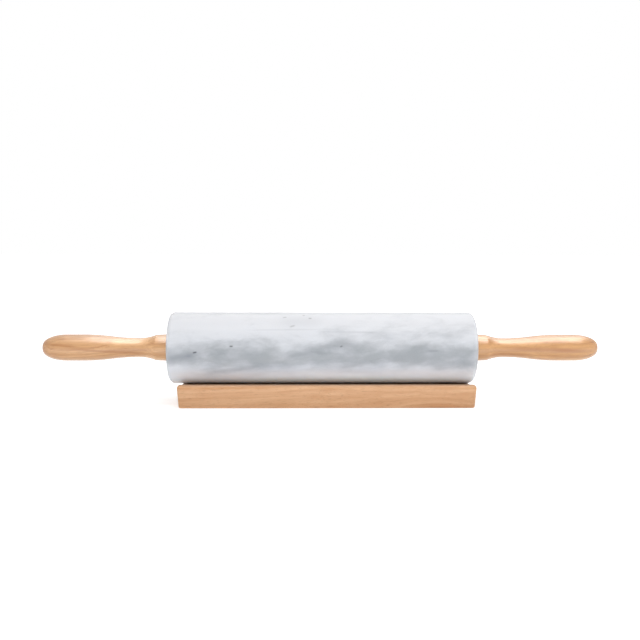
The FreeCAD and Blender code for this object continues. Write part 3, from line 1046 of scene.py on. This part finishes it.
nylon, tree, shader, place = new_finish("moulded_nylon")
position = in_millimetres(tree, place)
mottle = noise(tree, position, NYLON_SCALE, detail=3)
tree.links.new(blend_colours(tree, mottle, *NYLON), shader.inputs["Base Color"])
polish = ease(tree, mottle, *NYLON_RANGE, *NYLON_POLISH)
tree.links.new(polish, shader.inputs["Roughness"])
skin = noise(tree, position, SKIN_SCALE, detail=2)
raise_marks(tree, shader, skin, SKIN_DEPTH, SKIN_RELIEF)
dress_nodes(nylon, "left_bushing", "right_bushing")

# %% [markdown]
# ## Floor, light and background
#
# The pin stands on a white table under soft studio light. A wide softbox above and behind it
# lights the top, and a narrow strip above and in front lays a sheen along the stone. A large
# card, which shows only in the lacquer of the handles, gives them their broad highlight. A low
# lamp far in front and a light panel on the table fill the front and the underside of the
# barrel, while the gap above the stand stays dark. Two softboxes at the sides light the ends,
# and white walls all round do the rest. Seen by the camera, table and background are white, and
# the table still takes the shadow. More light would also whiten them, but the stone with them.

# %% Helper for white surroundings
WHITE = (1, 1, 1, 1)


def seen_directly(tree):
    """1 for the camera, reflections and glass, and 0 for light that falls on the pieces."""
    rays = put(tree, "LightPath").outputs
    seen = sum_of(tree, "MAXIMUM", rays["Is Camera Ray"], rays["Is Glossy Ray"])
    return sum_of(tree, "MAXIMUM", seen, rays["Is Transmission Ray"])


# %% Floor
HALF_FLOOR = 6
TABLE_PAINT = (0.8, 0.8, 0.8, 1)
GLOW_DISTANCE = (0.25, 0.9)
GLOW_STRENGTH = (0.62, 1.0)

floor_shape = bmesh.new()
bmesh.ops.create_grid(floor_shape, x_segments=1, y_segments=1, size=HALF_FLOOR)
floor_mesh = bpy.data.meshes.new("table_top")
floor_shape.to_mesh(floor_mesh)
floor_shape.free()
floor = bpy.data.objects.new("table_top", floor_mesh)
scene.collection.objects.link(floor)

table_white = bpy.data.materials.new("table_white")
table_white.use_nodes = True
tree = table_white.node_tree
tree.nodes.clear()
paint = put(tree, "BsdfDiffuse", {"Color": TABLE_PAINT}).outputs[0]
place = put(tree, "TexCoord").outputs["Object"]
distance = put(tree, "VectorMath", {0: place}, operation="LENGTH").outputs["Value"]
far_off = ease(tree, distance, *GLOW_DISTANCE, *GLOW_STRENGTH)
strength = sum_of(tree, "MULTIPLY", seen_directly(tree), far_off)
glow = put(tree, "Emission", {"Color": WHITE, "Strength": strength})
surface = put(tree, "AddShader", {0: paint, 1: glow.outputs[0]}).outputs[0]
put(tree, "OutputMaterial", {"Surface": surface})
floor_mesh.materials.append(table_white)
print("table", 2 * HALF_FLOOR, "m wide")

# %% White walls
ROOM_LIGHT = 0.12

room = bpy.data.worlds.new("white_room")
room.use_nodes = True
tree = room.node_tree
tree.nodes.clear()
strength = ease(tree, seen_directly(tree), 0.0, 1.0, ROOM_LIGHT, 1.0)
walls = put(tree, "Background", {"Color": WHITE, "Strength": strength}).outputs[0]
put(tree, "OutputWorld", {"Surface": walls})
scene.world = room
print("walls shine on the pieces with", ROOM_LIGHT)


# %% Helper for softboxes
def hang_softbox(name, place, aim, size, power):
    """A rectangular lamp that faces a point."""
    lamp = bpy.data.lights.new(name, "AREA")
    lamp.shape = "RECTANGLE"
    lamp.size, lamp.size_y = size
    lamp.energy = power
    softbox = bpy.data.objects.new(name, lamp)
    softbox.location = place
    towards = Vector(aim) - Vector(place)
    softbox.rotation_euler = towards.to_track_quat("-Z", "Y").to_euler()
    scene.collection.objects.link(softbox)
    print("softbox", name, "of", power, "W")
    return softbox


# %% Softboxes
# Each: place, the point it faces, its width and height, and its power in watts
COOL_LIGHT = (0.86, 0.94, 1.0)

hang_softbox("overhead_softbox", (0.17, 0.34, 0.86), (0.17, 0.0, 0.05), (1.16, 0.8), 5.0)
hang_softbox("strip_softbox", (0.135, -0.27, 0.88), (0.135, 0.0, 0.045), (1.03, 0.12), 3.2)
gleam = hang_softbox("gleam_card", (0.135, -0.22, 0.88), (0.135, -0.22, 0.0), (1.03, 1.05), 14)
gleam.visible_diffuse = False
lacquered = bpy.data.collections.new("lacquered_handles")
for handle in (left_handle, right_handle):
    lacquered.objects.link(handle)
gleam.light_linking.receiver_collection = lacquered
front = hang_softbox("front_softbox", (0.0, -1.25, 0.065), (0, 0, 0.04), (1.8, 0.12), 6.2)
front.visible_glossy = False
panel = hang_softbox("table_panel", (0.0, -0.16, 0.003), (0.0, -0.16, 1.0), (1.2, 0.2), 0.75)
panel.visible_camera = False
panel.data.color = COOL_LIGHT
for side, name in ((-1, "left_softbox"), (1, "right_softbox")):
    place = (side * 0.95, -0.15, 0.25)
    side_box = hang_softbox(name, place, (side * 0.12, 0, 0.045), (0.6, 0.5), 1.4)
    side_box.visible_glossy = False

scene.view_settings.view_transform = "Standard"
